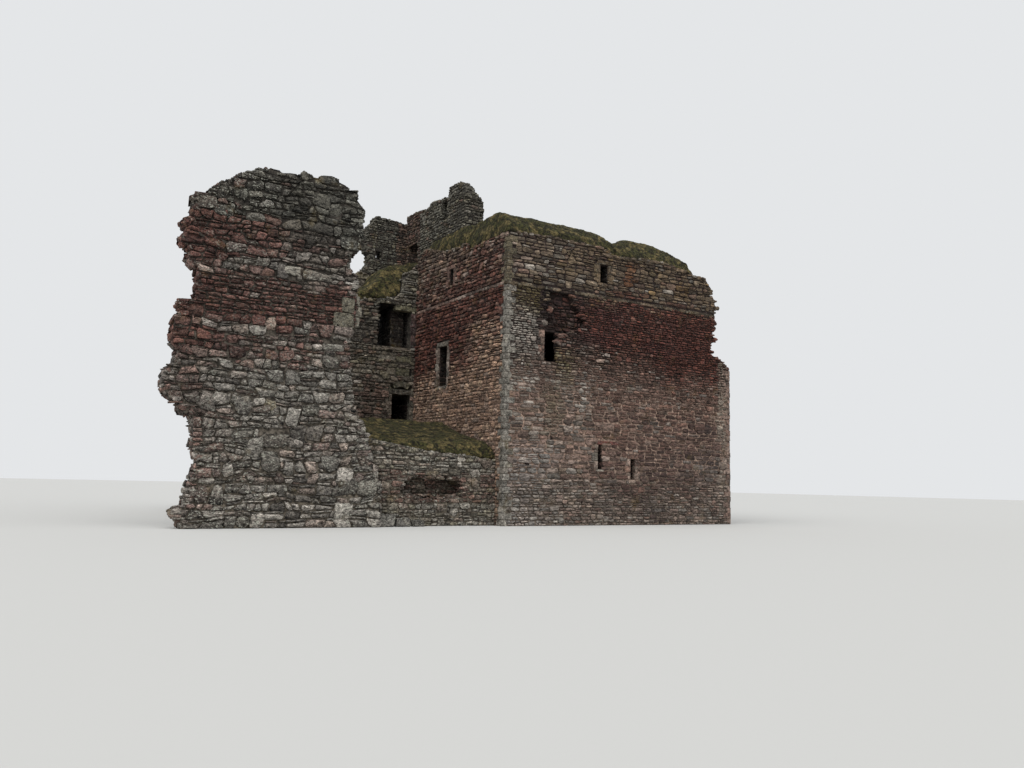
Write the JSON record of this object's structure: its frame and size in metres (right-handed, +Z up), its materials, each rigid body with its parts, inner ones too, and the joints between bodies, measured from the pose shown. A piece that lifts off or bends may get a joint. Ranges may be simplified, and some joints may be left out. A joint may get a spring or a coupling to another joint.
{
  "type": "ruined castle keep",
  "caption": "Roofless L-plan tower house of red rubble with a broken wall head, a garret wall, and a tall fragment of its forework.",
  "frame": {"origin": "middle of the footprint's bounding box at the lowest ground", "axes": "+X along the gable face from the forework to the far corner, +Y from the gable towards the rear, +Z up"},
  "size_m": [27.8, 18.5, 17.09],
  "materials": {
    "red_rubble": "coursed red sandstone rubble in pale lime mortar",
    "parapet_rubble": "lichened ochre and olive rubble",
    "grey_rubble": "weathered grey-brown rubble",
    "garret_rubble": "grey-olive rubble",
    "boulder_rubble": "large grey boulders with red sandstone bands",
    "dressed_stone": "dressed pale sandstone",
    "earth": "mossy earth and small rubble"
  },
  "bodies": {
    "root": {"gable_lower_wall": "red_rubble", "gable_hall_wall": "red_rubble", "gable_wall_head": "parapet_rubble", "gable_sills_and_heads": "dressed_stone", "left_lower_wall": "red_rubble", "left_hall_wall": "red_rubble", "left_wall_head": "parapet_rubble", "left_sills_and_heads": "dressed_stone", "right_lower_wall": "red_rubble", "right_hall_wall": "red_rubble", "right_wall_head": "parapet_rubble", "right_sills_and_heads": "dressed_stone", "rear_lower_wall": "red_rubble", "rear_hall_wall": "red_rubble", "rear_wall_head": "parapet_rubble", "rear_sills_and_heads": "dressed_stone", "string_course": "dressed_stone", "hall_vault": "red_rubble", "upper_vault": "red_rubble", "wing_lower_wall": "grey_rubble", "wing_door_wall": "grey_rubble", "wing_upper_wall": "grey_rubble", "wing_sills_and_heads": "dressed_stone", "wing_end_wall": "grey_rubble", "wing_rear_wall": "grey_rubble", "wing_vault": "red_rubble", "door_lintel": "dressed_stone", "relieving_arch": "dressed_stone", "blank_panel": "dressed_stone", "garret_side_wall": "garret_rubble", "garret_end_wall": "garret_rubble", "garret_lintels": "garret_rubble", "chimney_stub": "garret_rubble", "low_wall": "grey_rubble", "rubble_bank": "earth", "fallen_blocks": "boulder_rubble", "tall_fragment": "boulder_rubble", "fragment_jamb": "dressed_stone", "low_wall_cap": "earth", "gable_left_cap": "earth", "gable_right_cap": "earth", "left_wall_cap": "earth", "wing_cap": "earth", "rear_caps": "earth"}
  },
  "joints": []
}
